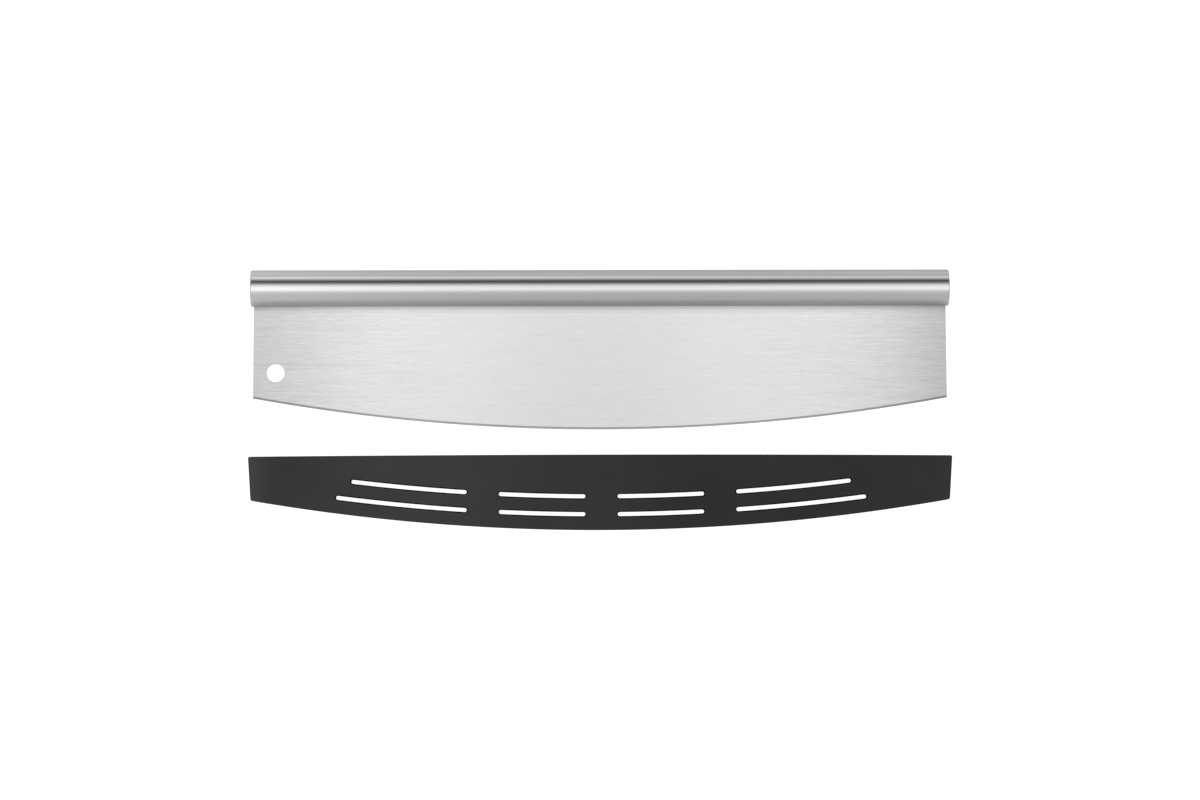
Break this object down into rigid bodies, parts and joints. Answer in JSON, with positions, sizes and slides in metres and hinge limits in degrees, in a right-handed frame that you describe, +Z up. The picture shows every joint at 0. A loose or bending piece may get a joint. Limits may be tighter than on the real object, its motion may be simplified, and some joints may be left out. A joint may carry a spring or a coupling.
{
  "type": "rocking pizza knife",
  "caption": "Rocking pizza knife: a long curved stainless blade under a full-length tube handle, with a slotted black slide-on blade cover lying beside it.",
  "frame": {"origin": "on the table, under the middle of the knife and its cover as they lie", "axes": "+X along the knife, hang hole at the -X end; +Y from the cutting edge towards the handle; +Z up from the table"},
  "size_m": [0.4094, 0.1515, 0.0213],
  "materials": {
    "brushed_blade": "stainless sheet with fine lengthwise brushing",
    "satin_tube": "stainless tube, satin polished along its length",
    "weld_seam": "ground weld seam",
    "cover_plastic": "matt black moulded polypropylene"
  },
  "bodies": {
    "knife": {"blade": "brushed_blade", "handle_tube": "satin_tube", "left_end_cap": "satin_tube", "right_end_cap": "satin_tube", "front_weld_bead": "weld_seam", "back_weld_bead": "weld_seam"},
    "cover": {"cover_front_wall": "cover_plastic", "cover_back_wall": "cover_plastic", "cover_rim": "cover_plastic"}
  },
  "joints": [
    {"name": "cover_slide", "type": "slide", "parent": "knife", "child": "cover", "axis": [0, 0.9983, 0.0579], "range_m": [0, 0.05635]}
  ]
}
